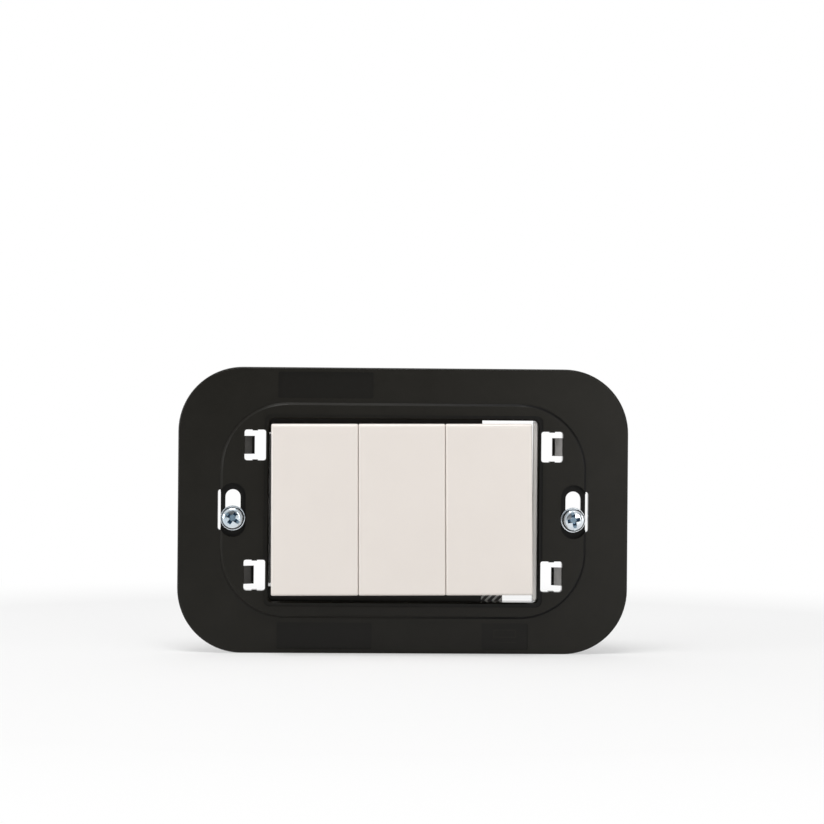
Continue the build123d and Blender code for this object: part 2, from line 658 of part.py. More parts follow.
def fixed_terminal():
    """Upper terminal: block, strip and the contact that the seesaw closes on."""
    half = STRIP_WIDTH / 2
    angle = math.radians(CONTACT_ANGLE)
    behind = BAR_BACK + RIVET_THICKNESS - PIN_Y
    reach = behind * math.cos(angle) + (RIVET_Z + RIVET_RADIUS) * math.sin(angle)
    rivet_front = PIN_Y + reach + CLOSED_GAP
    strip_front = rivet_front + RIVET_THICKNESS
    strip_back = strip_front + STRIP_THICKNESS
    inner = RIVET_Z - RIVET_RADIUS
    part = terminal_block(1)
    part += block(-half, half, strip_front, strip_back, inner, BLOCK_Z)
    leg = BLOCK_Z - STRIP_THICKNESS
    part += block(-half, half, strip_front, BLOCK_FRONT + STRIP_THICKNESS, leg, BLOCK_Z)
    rivet = Pos(0, RIVET_Z) * Circle(RIVET_RADIUS)
    part += slab(rivet, rivet_front, strip_front)
    return part - terminal_holes(1)


def common_terminal():
    """Lower terminal: block, strip and the forked bracket that carries the seesaw."""
    half = STRIP_WIDTH / 2
    back = BRACKET_FRONT + STRIP_THICKNESS
    ear_in = BAR_WIDTH / 2 + EAR_CLEARANCE
    ear_out = ear_in + EAR_THICKNESS
    ear_z = LUG_HEIGHT / 2 + EAR_CLEARANCE
    part = terminal_block(-1)
    part += block(-half, half, BRACKET_FRONT, back, -BLOCK_Z, ear_z)
    leg = -BLOCK_Z + STRIP_THICKNESS
    part += block(-half, half, BRACKET_FRONT, BLOCK_FRONT + STRIP_THICKNESS, -BLOCK_Z, leg)
    part += block(-ear_out, ear_out, BRACKET_FRONT, back, -ear_z, ear_z)
    for s in (-1, 1):
        part += block(s * ear_in, s * ear_out, PIN_Y - 2 * PIN_RADIUS, back, -ear_z, ear_z)
    pin = Pos(PIN_Y, 0) * Circle(PIN_RADIUS)
    part += side_slab(pin, -ear_out, ear_out)
    return part - terminal_holes(-1)


def terminal_screw(s):
    """Clamping screw of the upper (1) or lower (-1) terminal."""
    seat = COVER_INSIDE + STACK_CLEARANCE
    back = seat + TERMINAL_HEAD_HEIGHT
    head = slab(Circle(TERMINAL_HEAD / 2), seat, back)
    head = chamfer(head.faces().sort_by(Axis.Y)[-1].edges(), TERMINAL_HEAD_HEIGHT / 5)
    slot = Rectangle(TERMINAL_HEAD + CUT_OVERRUN, TERMINAL_HEAD_HEIGHT / 2)
    head -= slab(slot, back - TERMINAL_HEAD_HEIGHT / 2, back + CUT_OVERRUN)
    shank = slab(Circle(TERMINAL_SCREW_SIZE / 2), seat - TERMINAL_SCREW_LENGTH, seat + FUSE_LAP)
    return Pos(TERMINAL_SCREW_X, 0, s * BLOCK_Z) * (head + shank)


# --- all nodes ---
nodes = {"mounting_frame": mounting_frame()}
for side, name in ((-1, "left"), (1, "right")):
    nodes["mounting_screw_" + name] = mounting_screw(side)
    nodes["screw_washer_" + name] = screw_washer(side)

module = {
    "housing": housing(),
    "back_cover": back_cover(),
    "key": key(),
    "rocker": rocker(),
    "plunger": plunger(),
    "plunger_spring": plunger_spring(),
    "moving_contact": moving_contact(),
    "fixed_terminal": fixed_terminal(),
    "common_terminal": common_terminal(),
    "terminal_screw_upper": terminal_screw(1),
    "terminal_screw_lower": terminal_screw(-1),
}
for index, module_name in enumerate(MODULE_NAMES):
    x_module = GROUP_CENTRE + (index - 1) * MODULE_PITCH
    for piece, shape in module.items():
        nodes[piece + "_" + module_name] = Pos(x_module, 0, 0) * shape

os.makedirs("parts", exist_ok=True)
for node, shape in nodes.items():
    export_step(shape, "parts/" + node + ".step")
print("nodes", len(nodes))
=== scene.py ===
# Looks of the three-module mounting frame: better meshes, materials, light and camera.

import json
import math

import bmesh
import bpy
from mathutils import Matrix, Vector


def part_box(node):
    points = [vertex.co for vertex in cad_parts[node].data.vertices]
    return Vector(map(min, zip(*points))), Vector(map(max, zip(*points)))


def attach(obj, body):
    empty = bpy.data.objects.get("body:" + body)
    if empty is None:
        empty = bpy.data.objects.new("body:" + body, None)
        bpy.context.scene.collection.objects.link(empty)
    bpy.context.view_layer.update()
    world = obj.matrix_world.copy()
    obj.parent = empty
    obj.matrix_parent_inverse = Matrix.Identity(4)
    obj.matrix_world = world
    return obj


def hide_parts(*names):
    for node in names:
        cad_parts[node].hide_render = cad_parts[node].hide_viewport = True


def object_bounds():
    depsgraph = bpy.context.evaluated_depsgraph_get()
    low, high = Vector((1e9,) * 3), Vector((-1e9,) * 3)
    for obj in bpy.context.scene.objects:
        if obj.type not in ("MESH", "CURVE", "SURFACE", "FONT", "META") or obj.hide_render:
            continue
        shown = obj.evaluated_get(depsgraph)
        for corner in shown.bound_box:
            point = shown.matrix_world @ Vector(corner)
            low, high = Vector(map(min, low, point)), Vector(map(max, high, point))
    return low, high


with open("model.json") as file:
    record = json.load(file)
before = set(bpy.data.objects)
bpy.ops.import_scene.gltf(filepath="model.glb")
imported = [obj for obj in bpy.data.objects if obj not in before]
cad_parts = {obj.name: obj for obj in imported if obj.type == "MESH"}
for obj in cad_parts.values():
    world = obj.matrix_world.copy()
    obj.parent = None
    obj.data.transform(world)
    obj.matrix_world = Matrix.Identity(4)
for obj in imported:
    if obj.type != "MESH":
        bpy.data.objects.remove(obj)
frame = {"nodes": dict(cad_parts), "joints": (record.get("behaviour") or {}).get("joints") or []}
cad_low, cad_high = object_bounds()

MM = 0.001
MODULES = ("left", "middle", "right")

# --- camera: level, a little to the left, its axis passing above the plate's middle ---
VIEW_WIDTH = 201.7 * MM
CAMERA_DISTANCE = 575 * MM
CAMERA_X = 1.88 * MM
CAMERA_Z = 24.25 * MM
CAMERA_YAW = math.radians(1.9)
CAMERA_ROLL = math.radians(0.46)
PLATEAU_Y = -2.8 * MM
SENSOR = 36.0

# --- light: how bright the room is at the sides and in front, and the floor's fade to white ---
WORLD_SIDE = 0.80
WORLD_FRONT = 0.10
WORLD_RIGHT = 0.3
WORLD_TURN = (0.3, 0.85)
WORLD_CONE = (0.72, 0.95)
FLOOR_HALF = 3.0
FLOOR_COLOUR = (0.8, 0.8, 0.8, 1)
FLOOR_ROUGH = 0.9
FLOOR_LIFT = 0.42
FLOOR_FADE = (0.10, 0.26)

# --- key ---
KEY_WIDTH = 21.07 * MM
KEY_HEIGHT = 41.5 * MM
KEY_FACE = -10.3 * MM
KEY_DEPTH = 7.0 * MM
KEY_WALL = 1.4 * MM
KEY_CORNER = 0.4 * MM
KEY_TOP_BEVEL = 1.15 * MM
KEY_BOTTOM_BEVEL = 0.55 * MM
KEY_SIDE_BEVEL = 0.45 * MM
KEY_BEVEL_DEPTH = 0.75 * MM
KEY_BEVEL_STEPS = 10
KEY_RIM_EDGE = 0.12 * MM
ROCK_ANGLE = math.radians(3.5)
GROUP_ROLL = math.radians(-0.42)
GROUP_CENTRE = -0.56 * MM
POST_X = 4.6 * MM
POST_Z = 9.5 * MM
POST_RADIUS = 1.4 * MM
POST_SHOULDER = 2.8 * MM
CROWN_FRONT = -6.3 * MM
POST_END = -5.0 * MM
POST_LAP = 0.2 * MM
POST_TIP = 0.2 * MM

# --- tones set by place, all painted light and shade: painted shade on the counterbore floors (also made glossier), the label pocket floors, the plateau step and down in the screws' cross recesses; a painted highlight on the clip ramps ---
RECESS_FLOORS = (-1.4 * MM, -0.3 * MM)
RECESS_ROUGH = 0.5
# painted shade on the counterbore floors
RECESS_FLOOR_SHADE = (0.0022, 0.0020, 0.0014)
POCKET_FLOORS = (-1.72 * MM, -1.56 * MM)
# painted shade on the label pocket floors
POCKET_FLOOR_SHADE = (0.0050, 0.0045, 0.0032)
STEP_Y = (-2.74 * MM, -2.06 * MM)
STEP_X = (-10 * MM, 30 * MM)
# painted shade on the plateau step, growing towards the right
STEP_SHADE = (0.0012, 0.0010, 0.0008)
RAMP_X = (33.85 * MM, 38.9 * MM)
RAMP_Y = (-2.38 * MM, -1.15 * MM)
RAMP_Z = (13.75 * MM, 18.05 * MM)
# painted highlight on the clip ramps, weak on the left ones and full on the right ones
RAMP_HIGHLIGHT = (0.38, 0.375, 0.37)
RAMP_HIGHLIGHT_LEFT = 0.16
RAMP_HIGHLIGHT_RIGHT = 1.0
RAMP_CHANGE = 1.0 * MM
RAMP_STREAKS = 900
# painted shade down in the screws' cross recesses
RECESS_SHADE = (0.16, 0.25, 0.33)
RECESS_REACH = (0.62, 0.78)
RECESS_DEPTH = (0.12 * MM, 0.5 * MM)
RECESS_END = (1.7 * MM, 1.8 * MM)
RECESS_STRENGTH = 0.92

# --- nose of the modules' latches: painted highlight on its ribs and painted shade in the grooves between them ---
LATCH_NOSE_Z = (-23.0 * MM, -20.7 * MM)
LATCH_RIB_Y = (3.5 * MM, 3.75 * MM)
# painted highlight on the latch ribs
LATCH_RIB_HIGHLIGHT = (0.95, 0.95, 0.94)
LATCH_GROOVE_Y = (3.88 * MM, 4.1 * MM)
# painted shade in the latch grooves
LATCH_GROOVE_SHADE = (0.08, 0.08, 0.08)

# --- lip in the play beside the right-hand module ---
LIP_X = (31.85 * MM, 32.9 * MM)
LIP_Y = (-1.3 * MM, -0.4 * MM)
LIP_HALF_Z = 21.9 * MM
LIP_EDGE = 0.12 * MM
LIP_CORNER = 0.35 * MM
LIP_BODY = "frame"

# --- screws ---
HEAD_HEIGHT = 2.3 * MM
THREAD_PITCH = 0.6 * MM
THREAD_DEPTH = 0.28 * MM
NECK_LENGTH = 1.2 * MM
NECK_LAP = 0.3 * MM
NECK_TAPER = 0.2 * MM
ROD_LAP = 0.1 * MM
TERMINAL_HEAD_HEIGHT = 1.7 * MM
TERMINAL_PITCH = 0.5 * MM
TERMINAL_RADIUS = 1.75 * MM
TERMINAL_THREAD_DEPTH = 0.22 * MM
NECK_RADIUS = 1.75 * MM
THREAD_RADIUS = 1.7 * MM

# --- the screws' recesses: shares of the head's radius and height, and clearances above it ---
HEAD_RECESS = 0.62
TERMINAL_RECESS = 0.6
CROSS_REACH = 0.60
CROSS_WIDTH = 0.17
CUTTER_ABOVE = 0.3 * MM
SLOT_REACH = 0.93
SLOT_WIDTH = 0.13
SLOT_DEPTH = 0.42
SLOT_ABOVE = 0.4 * MM


# ------------------------------------------------------------------ mesh helpers
def new_object(name, mesh):
    """Links a mesh as a new object."""
    obj = bpy.data.objects.new(name, mesh)
    bpy.context.scene.collection.objects.link(obj)
    return obj


def mesh_from(name, points, faces):
    """Mesh object from points and faces, with its normals made consistent."""
    mesh = bpy.data.meshes.new(name)
    mesh.from_pydata([tuple(p) for p in points], [], faces)
    work = bmesh.new()
    work.from_mesh(mesh)
    bmesh.ops.remove_doubles(work, verts=work.verts, dist=1e-7)
    bmesh.ops.recalc_face_normals(work, faces=work.faces)
    work.to_mesh(mesh)
    work.free()
    return new_object(name, mesh)


def smooth(obj, degrees=35):
    """Smooth shading, with edges sharper than the angle kept sharp."""
    for polygon in obj.data.polygons:
        polygon.use_smooth = True
    work = bmesh.new()
    work.from_mesh(obj.data)
    limit = math.radians(degrees)
    for edge in work.edges:
        if len(edge.link_faces) == 2:
            edge.smooth = edge.calc_face_angle(0) < limit
    work.to_mesh(obj.data)
    work.free()
    return obj


def apply_modifiers(obj):
    """Replaces the object's mesh by the mesh its modifiers make."""
    graph = bpy.context.evaluated_depsgraph_get()
    mesh = bpy.data.meshes.new_from_object(obj.evaluated_get(graph))
    obj.modifiers.clear()
    obj.data = mesh
    return obj


def boolean(obj, cutter, operation="DIFFERENCE"):
    """Cuts or joins another object and removes it."""
    modifier = obj.modifiers.new("boolean", "BOOLEAN")
    modifier.object = cutter
    modifier.operation = operation
    modifier.solver = "EXACT"
    apply_modifiers(obj)
    bpy.data.objects.remove(cutter)
    return obj


def bevel(obj, width, segments=2, degrees=30, weld=False):
    """Rounds the sharp edges with a modifier that stays on the object."""
    if weld:
        join = obj.modifiers.new("weld", "WELD")
        join.merge_threshold = 1e-6
    modifier = obj.modifiers.new("edge", "BEVEL")
    modifier.width = width
    modifier.segments = segments
    modifier.limit_method = "ANGLE"
    modifier.angle_limit = math.radians(degrees)
    modifier.use_clamp_overlap = True
    modifier.harden_normals = False
    return obj


def box_mesh(name, low, high):
    """Closed box between two corners."""
    (x0, y0, z0), (x1, y1, z1) = low, high
    points = [(x, y, z) for x in (x0, x1) for y in (y0, y1) for z in (z0, z1)]
    faces = [(0, 1, 3, 2), (4, 6, 7, 5), (0, 4, 5, 1), (2, 3, 7, 6), (0, 2, 6, 4), (1, 5, 7, 3)]
    return mesh_from(name, points, faces)


def lathe(name, profile, segments=64):
    """Closed solid turned about the Y axis from (radius, y) pairs, both ends on the axis."""
    points = []
    faces = []
    rings = profile[1:-1]
    for radius, y in rings:
        for i in range(segments):
            a = 2 * math.pi * i / segments
            points.append((radius * math.cos(a), y, radius * math.sin(a)))
    first = len(points)
    points.append((0, profile[0][1], 0))
    points.append((0, profile[-1][1], 0))
    for j in range(len(rings) - 1):
        for i in range(segments):
            n = (i + 1) % segments
            a, b = j * segments + i, j * segments + n
            faces.append((a, b, b + segments, a + segments))
    last = (len(rings) - 1) * segments
    for i in range(segments):
        n = (i + 1) % segments
        faces.append((first, n, i))
        faces.append((first + 1, last + i, last + n))
    return mesh_from(name, points, faces)


def rounded_loop(x0, x1, z0, z1, radius, y, steps=8):
    """Points of a rounded rectangle at depth y, the same number for any size."""
    loop = []
    corners = (
        (x1 - radius, z1 - radius, 0),
        (x0 + radius, z1 - radius, 90),
        (x0 + radius, z0 + radius, 180),
        (x1 - radius, z0 + radius, 270),
    )
    for cx, cz, start in corners:
        for i in range(steps + 1):
            a = math.radians(start + 90 * i / steps)
            loop.append((cx + radius * math.cos(a), y, cz + radius * math.sin(a)))
    return loop


def loft(name, loops):
    """Closed solid through loops with equal numbers of points, capped at both ends."""
    points = [p for loop in loops for p in loop]
    count = len(loops[0])
    faces = []
    for j in range(len(loops) - 1):
        for i in range(count):
            n = (i + 1) % count
            a, b = j * count + i, j * count + n
            faces.append((a, b, b + count, a + count))
    faces.append(tuple(range(count)))
    faces.append(tuple(range((len(loops) - 1) * count, len(loops) * count)))
    return mesh_from(name, points, faces)


def turn_about_x(obj, angle, y):
    """Turns a mesh about the X axis line through (y, z = 0)."""
    pivot = Matrix.Translation((0, y, 0))
    obj.data.transform(pivot @ Matrix.Rotation(angle, 4, "X") @ pivot.inverted())
    return obj


def shift(obj, x, y, z):
    """Moves a mesh, leaving its object at the origin."""
    obj.data.transform(Matrix.Translation((x, y, z)))
    return obj


def joint_place(name):
    """Position of a joint, in metres."""
    for joint in frame["joints"]:
        if joint["name"] == name:
            return Vector(joint["pos_m"])
    raise ValueError(name)


# ------------------------------------------------------------------ materials
def math_node(tree, operation, first, second=0.0, clamp=False):
    """Math node; each argument is a socket or a number."""
    node = tree.nodes.new("ShaderNodeMath")
    node.operation = operation
    node.use_clamp = clamp
    for index, value in enumerate((first, second)):
        if isinstance(value, (int, float)):
            node.inputs[index].default_value = value
        else:
            tree.links.new(value, node.inputs[index])
    return node.outputs[0]


def remap(tree, value, low, high, to_low, to_high):
    """Smooth step of a value from one range to another."""
    node = tree.nodes.new("ShaderNodeMapRange")
    node.interpolation_type = "SMOOTHSTEP"
    node.inputs["From Min"].default_value = low
    node.inputs["From Max"].default_value = high
    node.inputs["To Min"].default_value = to_low
    node.inputs["To Max"].default_value = to_high
    tree.links.new(value, node.inputs["Value"])
    return node.outputs["Result"]


def noise(tree, scale, detail=4.0, rough=0.55, stretch=None):
    """Noise in the object's own metres; scale is its features per metre."""
    place = tree.nodes.new("ShaderNodeTexCoord")
    texture = tree.nodes.new("ShaderNodeTexNoise")
    texture.inputs["Scale"].default_value = scale
    texture.inputs["Detail"].default_value = detail
    texture.inputs["Roughness"].default_value = rough
    if stretch:
        mapping = tree.nodes.new("ShaderNodeMapping")
        mapping.inputs["Scale"].default_value = stretch
        tree.links.new(place.outputs["Object"], mapping.inputs["Vector"])
        tree.links.new(mapping.outputs["Vector"], texture.inputs["Vector"])
    else:
        tree.links.new(place.outputs["Object"], texture.inputs["Vector"])
    return texture


def ramp(tree, source, low, high, start=0.35, end=0.65):
    """Colour ramp from low to high over part of a texture's range."""
    node = tree.nodes.new("ShaderNodeValToRGB")
    node.color_ramp.elements[0].position = start
    node.color_ramp.elements[1].position = end
    node.color_ramp.elements[0].color = (*low, 1)
    node.color_ramp.elements[1].color = (*high, 1)
    tree.links.new(source.outputs["Fac"], node.inputs["Fac"])
    return node


def span(tree, source, low, high):
    """Maps a texture's value to a range, for roughness."""
    node = tree.nodes.new("ShaderNodeMapRange")
    node.inputs["From Min"].default_value = 0.3
    node.inputs["From Max"].default_value = 0.7
    node.inputs["To Min"].default_value = low
    node.inputs["To Max"].default_value = high
    tree.links.new(source.outputs["Fac"], node.inputs["Value"])
    return node


def finish_material(name, dark, light, rough, grain, metallic=0.0, specular=0.5, wall=None):
    """Material with mottled colour, uneven gloss and a two-scale grain in relief.

    rough is (low, high); grain is (features per metre, depth in metres, waviness depth).
    wall is the roughness of surfaces square to the face, which a mould leaves polished.
    """
    material = bpy.data.materials.new(name)
    material.use_nodes = True
    tree = material.node_tree
    shader = tree.nodes["Principled BSDF"]
    shader.inputs["Metallic"].default_value = metallic
    shader.inputs["Specular IOR Level"].default_value = specular
    patches = noise(tree, grain[0] / 40, 5.0)
    colour = ramp(tree, patches, dark, light)
    tree.links.new(colour.outputs["Color"], shader.inputs["Base Color"])
    gloss = span(tree, noise(tree, grain[0] / 8, 4.0), *rough).outputs["Result"]
    if wall is not None:
        gloss = mix_value(tree, facing_front(tree), wall, gloss)
    tree.links.new(gloss, shader.inputs["Roughness"])
    fine = tree.nodes.new("ShaderNodeBump")
    fine.inputs["Strength"].default_value = 1.0
    fine.inputs["Distance"].default_value = grain[1]
    tree.links.new(noise(tree, grain[0], 3.0).outputs["Fac"], fine.inputs["Height"])
    broad = tree.nodes.new("ShaderNodeBump")
    broad.inputs["Strength"].default_value = 1.0
    broad.inputs["Distance"].default_value = grain[2]
    tree.links.new(noise(tree, grain[0] / 60, 2.0).outputs["Fac"], broad.inputs["Height"])
    tree.links.new(fine.outputs["Normal"], broad.inputs["Normal"])
    tree.links.new(broad.outputs["Normal"], shader.inputs["Normal"])
    return material


def facing_front(tree):
    """1 on surfaces that face along Y, 0 on those square to it."""
    place = tree.nodes.new("ShaderNodeTexCoord")
    split = tree.nodes.new("ShaderNodeSeparateXYZ")
    tree.links.new(place.outputs["Normal"], split.inputs[0])
    flat = math_node(tree, "ABSOLUTE", split.outputs["Y"])
    return remap(tree, flat, 0.25, 0.6, 0.0, 1.0)


def mix_value(tree, factor, low, high):
    """Blends two numbers or sockets by a factor."""
    node = tree.nodes.new("ShaderNodeMix")
    node.data_type = "FLOAT"
    tree.links.new(factor, node.inputs["Factor"])
    for socket, value in (("A", low), ("B", high)):
        if isinstance(value, (int, float)):
            node.inputs[socket].default_value = value
        else:
            tree.links.new(value, node.inputs[socket])
    return node.outputs["Result"]


def object_axes(tree):
    """The object's own X, Y and Z, in metres."""
    place = tree.nodes.new("ShaderNodeTexCoord")
    split = tree.nodes.new("ShaderNodeSeparateXYZ")
    tree.links.new(place.outputs["Object"], split.inputs[0])
    return split.outputs["X"], split.outputs["Y"], split.outputs["Z"]


def within(tree, value, low, high, edge=0.05 * MM):
    """1 between two values, 0 outside them, with soft ends."""
    rise = remap(tree, value, low - edge, low + edge, 0.0, 1.0)
    fall = remap(tree, value, high - edge, high + edge, 1.0, 0.0)
    return math_node(tree, "MULTIPLY", rise, fall)


def tint(material, factor, colour):
    """Blends the material's colour towards another one where the factor is 1."""
    tree = material.node_tree
    shader = tree.nodes["Principled BSDF"]
    node = tree.nodes.new("ShaderNodeMix")
    node.data_type = "RGBA"
    tree.links.new(factor, node.inputs["Factor"])
    tree.links.new(shader.inputs["Base Color"].links[0].from_socket, node.inputs[6])
    node.inputs[7].default_value = (*colour, 1)
    tree.links.new(node.outputs[2], shader.inputs["Base Color"])


def polish(material, factor, rough):
    """Blends the material's roughness towards a value where the factor is 1."""
    tree = material.node_tree
    shader = tree.nodes["Principled BSDF"]
    gloss = shader.inputs["Roughness"].links[0].from_socket
    tree.links.new(mix_value(tree, factor, gloss, rough), shader.inputs["Roughness"])


def paint_frame_shade_and_highlight(material):
    """Painted shade on the counterbore floors, which are also made glossier, on the label pocket
    floors and on the plateau step, darker towards the right, and a painted highlight on the clip
    ramps, stronger on the right.
    """
    tree = material.node_tree
    x, y, z = object_axes(tree)
    floors = math_node(
        tree, "MULTIPLY", within(tree, y, RECESS_FLOORS[0], RECESS_FLOORS[1]),
        facing_front(tree)
    )
    polish(material, floors, RECESS_ROUGH)
    # painted shade on the counterbore floors
    tint(material, floors, RECESS_FLOOR_SHADE)
    pockets = math_node(
        tree, "MULTIPLY", within(tree, y, POCKET_FLOORS[0], POCKET_FLOORS[1]),
        facing_front(tree)
    )
    # painted shade on the label pocket floors
    tint(material, pockets, POCKET_FLOOR_SHADE)
    step = math_node(
        tree, "MULTIPLY", within(tree, y, STEP_Y[0], STEP_Y[1]),
        remap(tree, x, STEP_X[0], STEP_X[1], 0.0, 1.0)
    )
    # painted shade on the plateau step, stronger towards the right
    tint(material, step, STEP_SHADE)
    zone = math_node(
        tree, "MULTIPLY",
        within(tree, math_node(tree, "ABSOLUTE", x), RAMP_X[0], RAMP_X[1]),
        within(tree, math_node(tree, "ABSOLUTE", z), RAMP_Z[0], RAMP_Z[1])
    )
    zone = math_node(tree, "MULTIPLY", zone, within(tree, y, RAMP_Y[0], RAMP_Y[1]))
    streaks = span(tree, noise(tree, RAMP_STREAKS, 3.0, stretch=(1.0, 0.3, 0.3)), 0.75, 1.0)
    ramp_highlight = math_node(tree, "MULTIPLY", zone, streaks.outputs["Result"])
    amount = remap(tree, x, -RAMP_CHANGE, RAMP_CHANGE, RAMP_HIGHLIGHT_LEFT, RAMP_HIGHLIGHT_RIGHT)
    # painted highlight on the clip ramps, in streaks, weak on the left and full on the right
    tint(material, math_node(tree, "MULTIPLY", ramp_highlight, amount), RAMP_HIGHLIGHT)


def paint_latch_light_and_shade(material):
    """Painted highlight on the ribs and painted shade in the grooves on the nose of the modules'
    latches.
    """
    tree = material.node_tree
    _, y, z = object_axes(tree)
    nose = within(tree, z, LATCH_NOSE_Z[0], LATCH_NOSE_Z[1])
    # painted highlight on the ribs, painted shade in the grooves
    for band, colour in ((LATCH_RIB_Y, LATCH_RIB_HIGHLIGHT), (LATCH_GROOVE_Y, LATCH_GROOVE_SHADE)):
        tint(material, math_node(tree, "MULTIPLY", nose, within(tree, y, *band)), colour)


def paint_recess_shade(material, centre, radius, face):
    """Painted shade, darker and bluer, down in the screws' cross recesses."""
    tree = material.node_tree
    x, y, z = object_axes(tree)
    dx = math_node(tree, "SUBTRACT", math_node(tree, "ABSOLUTE", x), abs(centre.x))
    dz = math_node(tree, "SUBTRACT", z, centre.z)
    square = math_node(
        tree, "ADD", math_node(tree, "MULTIPLY", dx, dx), math_node(tree, "MULTIPLY", dz, dz)
    )
    reach = remap(
        tree, math_node(tree, "SQRT", square),
        radius * RECESS_REACH[0], radius * RECESS_REACH[1], 1.0, 0.0
    )
    deep = remap(
        tree, y, face + RECESS_DEPTH[0], face + RECESS_DEPTH[1], 0.0, RECESS_STRENGTH
    )
    head = remap(tree, y, face + RECESS_END[0], face + RECESS_END[1], 1.0, 0.0)
    deep = math_node(tree, "MULTIPLY", deep, head)
    # painted shade in the cross recess
    tint(material, math_node(tree, "MULTIPLY", reach, deep), RECESS_SHADE)


def make_materials():
    """Every finish on the object, by the name used below."""
    return {
        "frame": finish_material(
            "black_moulded_plastic", (0.0076, 0.0068, 0.0046), (0.0092, 0.0083, 0.0060),
            (0.29, 0.33), (5200, 0.0000010, 0.000006), specular=0.22, wall=0.10
        ),
        "key": finish_material(
            "white_satin_plastic", (0.750, 0.700, 0.658), (0.760, 0.710, 0.668),
            (0.22, 0.27), (3000, 0.0000008, 0.000006), specular=0.5
        ),
        "body": finish_material(
            "pale_moulded_plastic", (0.66, 0.645, 0.62), (0.71, 0.695, 0.67),
            (0.38, 0.5), (4200, 0.000004, 0.00002)
        ),
        "inner": finish_material(
            "grey_moulded_plastic", (0.42, 0.41, 0.40), (0.47, 0.46, 0.45),
            (0.4, 0.5), (4200, 0.000004, 0.00002)
        ),
        "screw": finish_material(
            "bright_zinc_screw", (0.60, 0.70, 0.78), (0.86, 0.89, 0.92),
            (0.12, 0.28), (5000, 0.000003, 0.00002), metallic=1.0
        ),
        "zinc": finish_material(
            "bright_zinc", (0.62, 0.68, 0.74), (0.82, 0.86, 0.90),
            (0.16, 0.34), (5000, 0.000003, 0.00002), metallic=1.0
        ),
        "steel": finish_material(
            "zinc_plated_steel", (0.52, 0.53, 0.54), (0.66, 0.67, 0.68),
            (0.24, 0.42), (5000, 0.000003, 0.00002), metallic=1.0
        ),
        "brass": finish_material(
            "stamped_brass", (0.62, 0.45, 0.20), (0.76, 0.58, 0.29),
            (0.24, 0.4), (4000, 0.000003, 0.00003), metallic=1.0
        ),
    }


def paint(obj, material):
    """Puts one material on the whole object."""
    obj.data.materials.clear()
    obj.data.materials.append(material)
    return obj


# ------------------------------------------------------------------ pieces
def build_key(module, materials):
    """Key cap: rounded face with a broad top bevel, hollow behind, with four posts."""
    pivot = joint_place("key_rock_" + module)
    half_x = KEY_WIDTH / 2
    half_z = KEY_HEIGHT / 2
    back = KEY_FACE + KEY_DEPTH
    loops = []
    for i in range(KEY_BEVEL_STEPS + 1):
        a = math.pi / 2 * i / KEY_BEVEL_STEPS
        inset = 1 - math.sin(a)
        y = KEY_FACE + KEY_BEVEL_DEPTH * (1 - math.cos(a))
        corner = KEY_CORNER + KEY_SIDE_BEVEL * inset * 0.2
        loops.append(rounded_loop(
            -half_x + KEY_SIDE_BEVEL * inset, half_x - KEY_SIDE_BEVEL * inset,
            -half_z + KEY_BOTTOM_BEVEL * inset, half_z - KEY_TOP_BEVEL * inset, corner, y
        ))
    loops.append(rounded_loop(-half_x, half_x, -half_z, half_z, KEY_CORNER, back - KEY_RIM_EDGE))
    loops.append(rounded_loop(
        -half_x + KEY_RIM_EDGE, half_x - KEY_RIM_EDGE,
        -half_z + KEY_RIM_EDGE, half_z - KEY_RIM_EDGE,
        KEY_CORNER, back
    ))
    inner_x = half_x - KEY_WALL
    inner_z = half_z - KEY_WALL
    inner = KEY_FACE + KEY_WALL
    loops.append(rounded_loop(-inner_x, inner_x, -inner_z, inner_z, KEY_CORNER, back))
    loops.append(rounded_loop(-inner_x, inner_x, -inner_z, inner_z, KEY_CORNER, inner))
    cap = loft("key_cap_" + module, loops)
    posts = []
    for sx in (-1, 1):
        for sz in (-1, 1):
            profile = [
                (0, inner - POST_LAP), (POST_SHOULDER, inner - POST_LAP),
                (POST_SHOULDER, CROWN_FRONT), (POST_RADIUS, CROWN_FRONT),
                (POST_RADIUS, POST_END - POST_TIP), (POST_RADIUS - POST_TIP, POST_END),
                (0, POST_END),
            ]
            post = lathe("post", profile, 32)
            posts.append(shift(post, sx * POST_X, 0, sz * POST_Z))
    for post in posts:
        boolean(cap, post, "UNION")
    turn_about_x(cap, -ROCK_ANGLE, pivot.y)
    shift(cap, pivot.x - GROUP_CENTRE, 0, 0)
    # the three keys sit a touch askew in the opening, as one group
    cap.data.transform(Matrix.Rotation(GROUP_ROLL, 4, "Y"))
    shift(cap, GROUP_CENTRE, 0, 0)
    smooth(cap, 30)
    paint(cap, materials["key"])
    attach(cap, "key_" + module)
    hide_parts("key_" + module)
    return cap


def build_side_lip(materials):
    """Pale lip that fills the play beside the right-hand module."""
    loops = []
    for y, inset in ((LIP_Y[0], LIP_EDGE), (LIP_Y[0] + LIP_EDGE, 0.0), (LIP_Y[1], 0.0)):
        loops.append(rounded_loop(
            LIP_X[0] + inset, LIP_X[1] - inset, -LIP_HALF_Z + inset, LIP_HALF_Z - inset,
            LIP_CORNER, y
        ))
    lip = smooth(loft("side_lip", loops), 30)
    paint(lip, materials["body"])
    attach(lip, LIP_BODY)


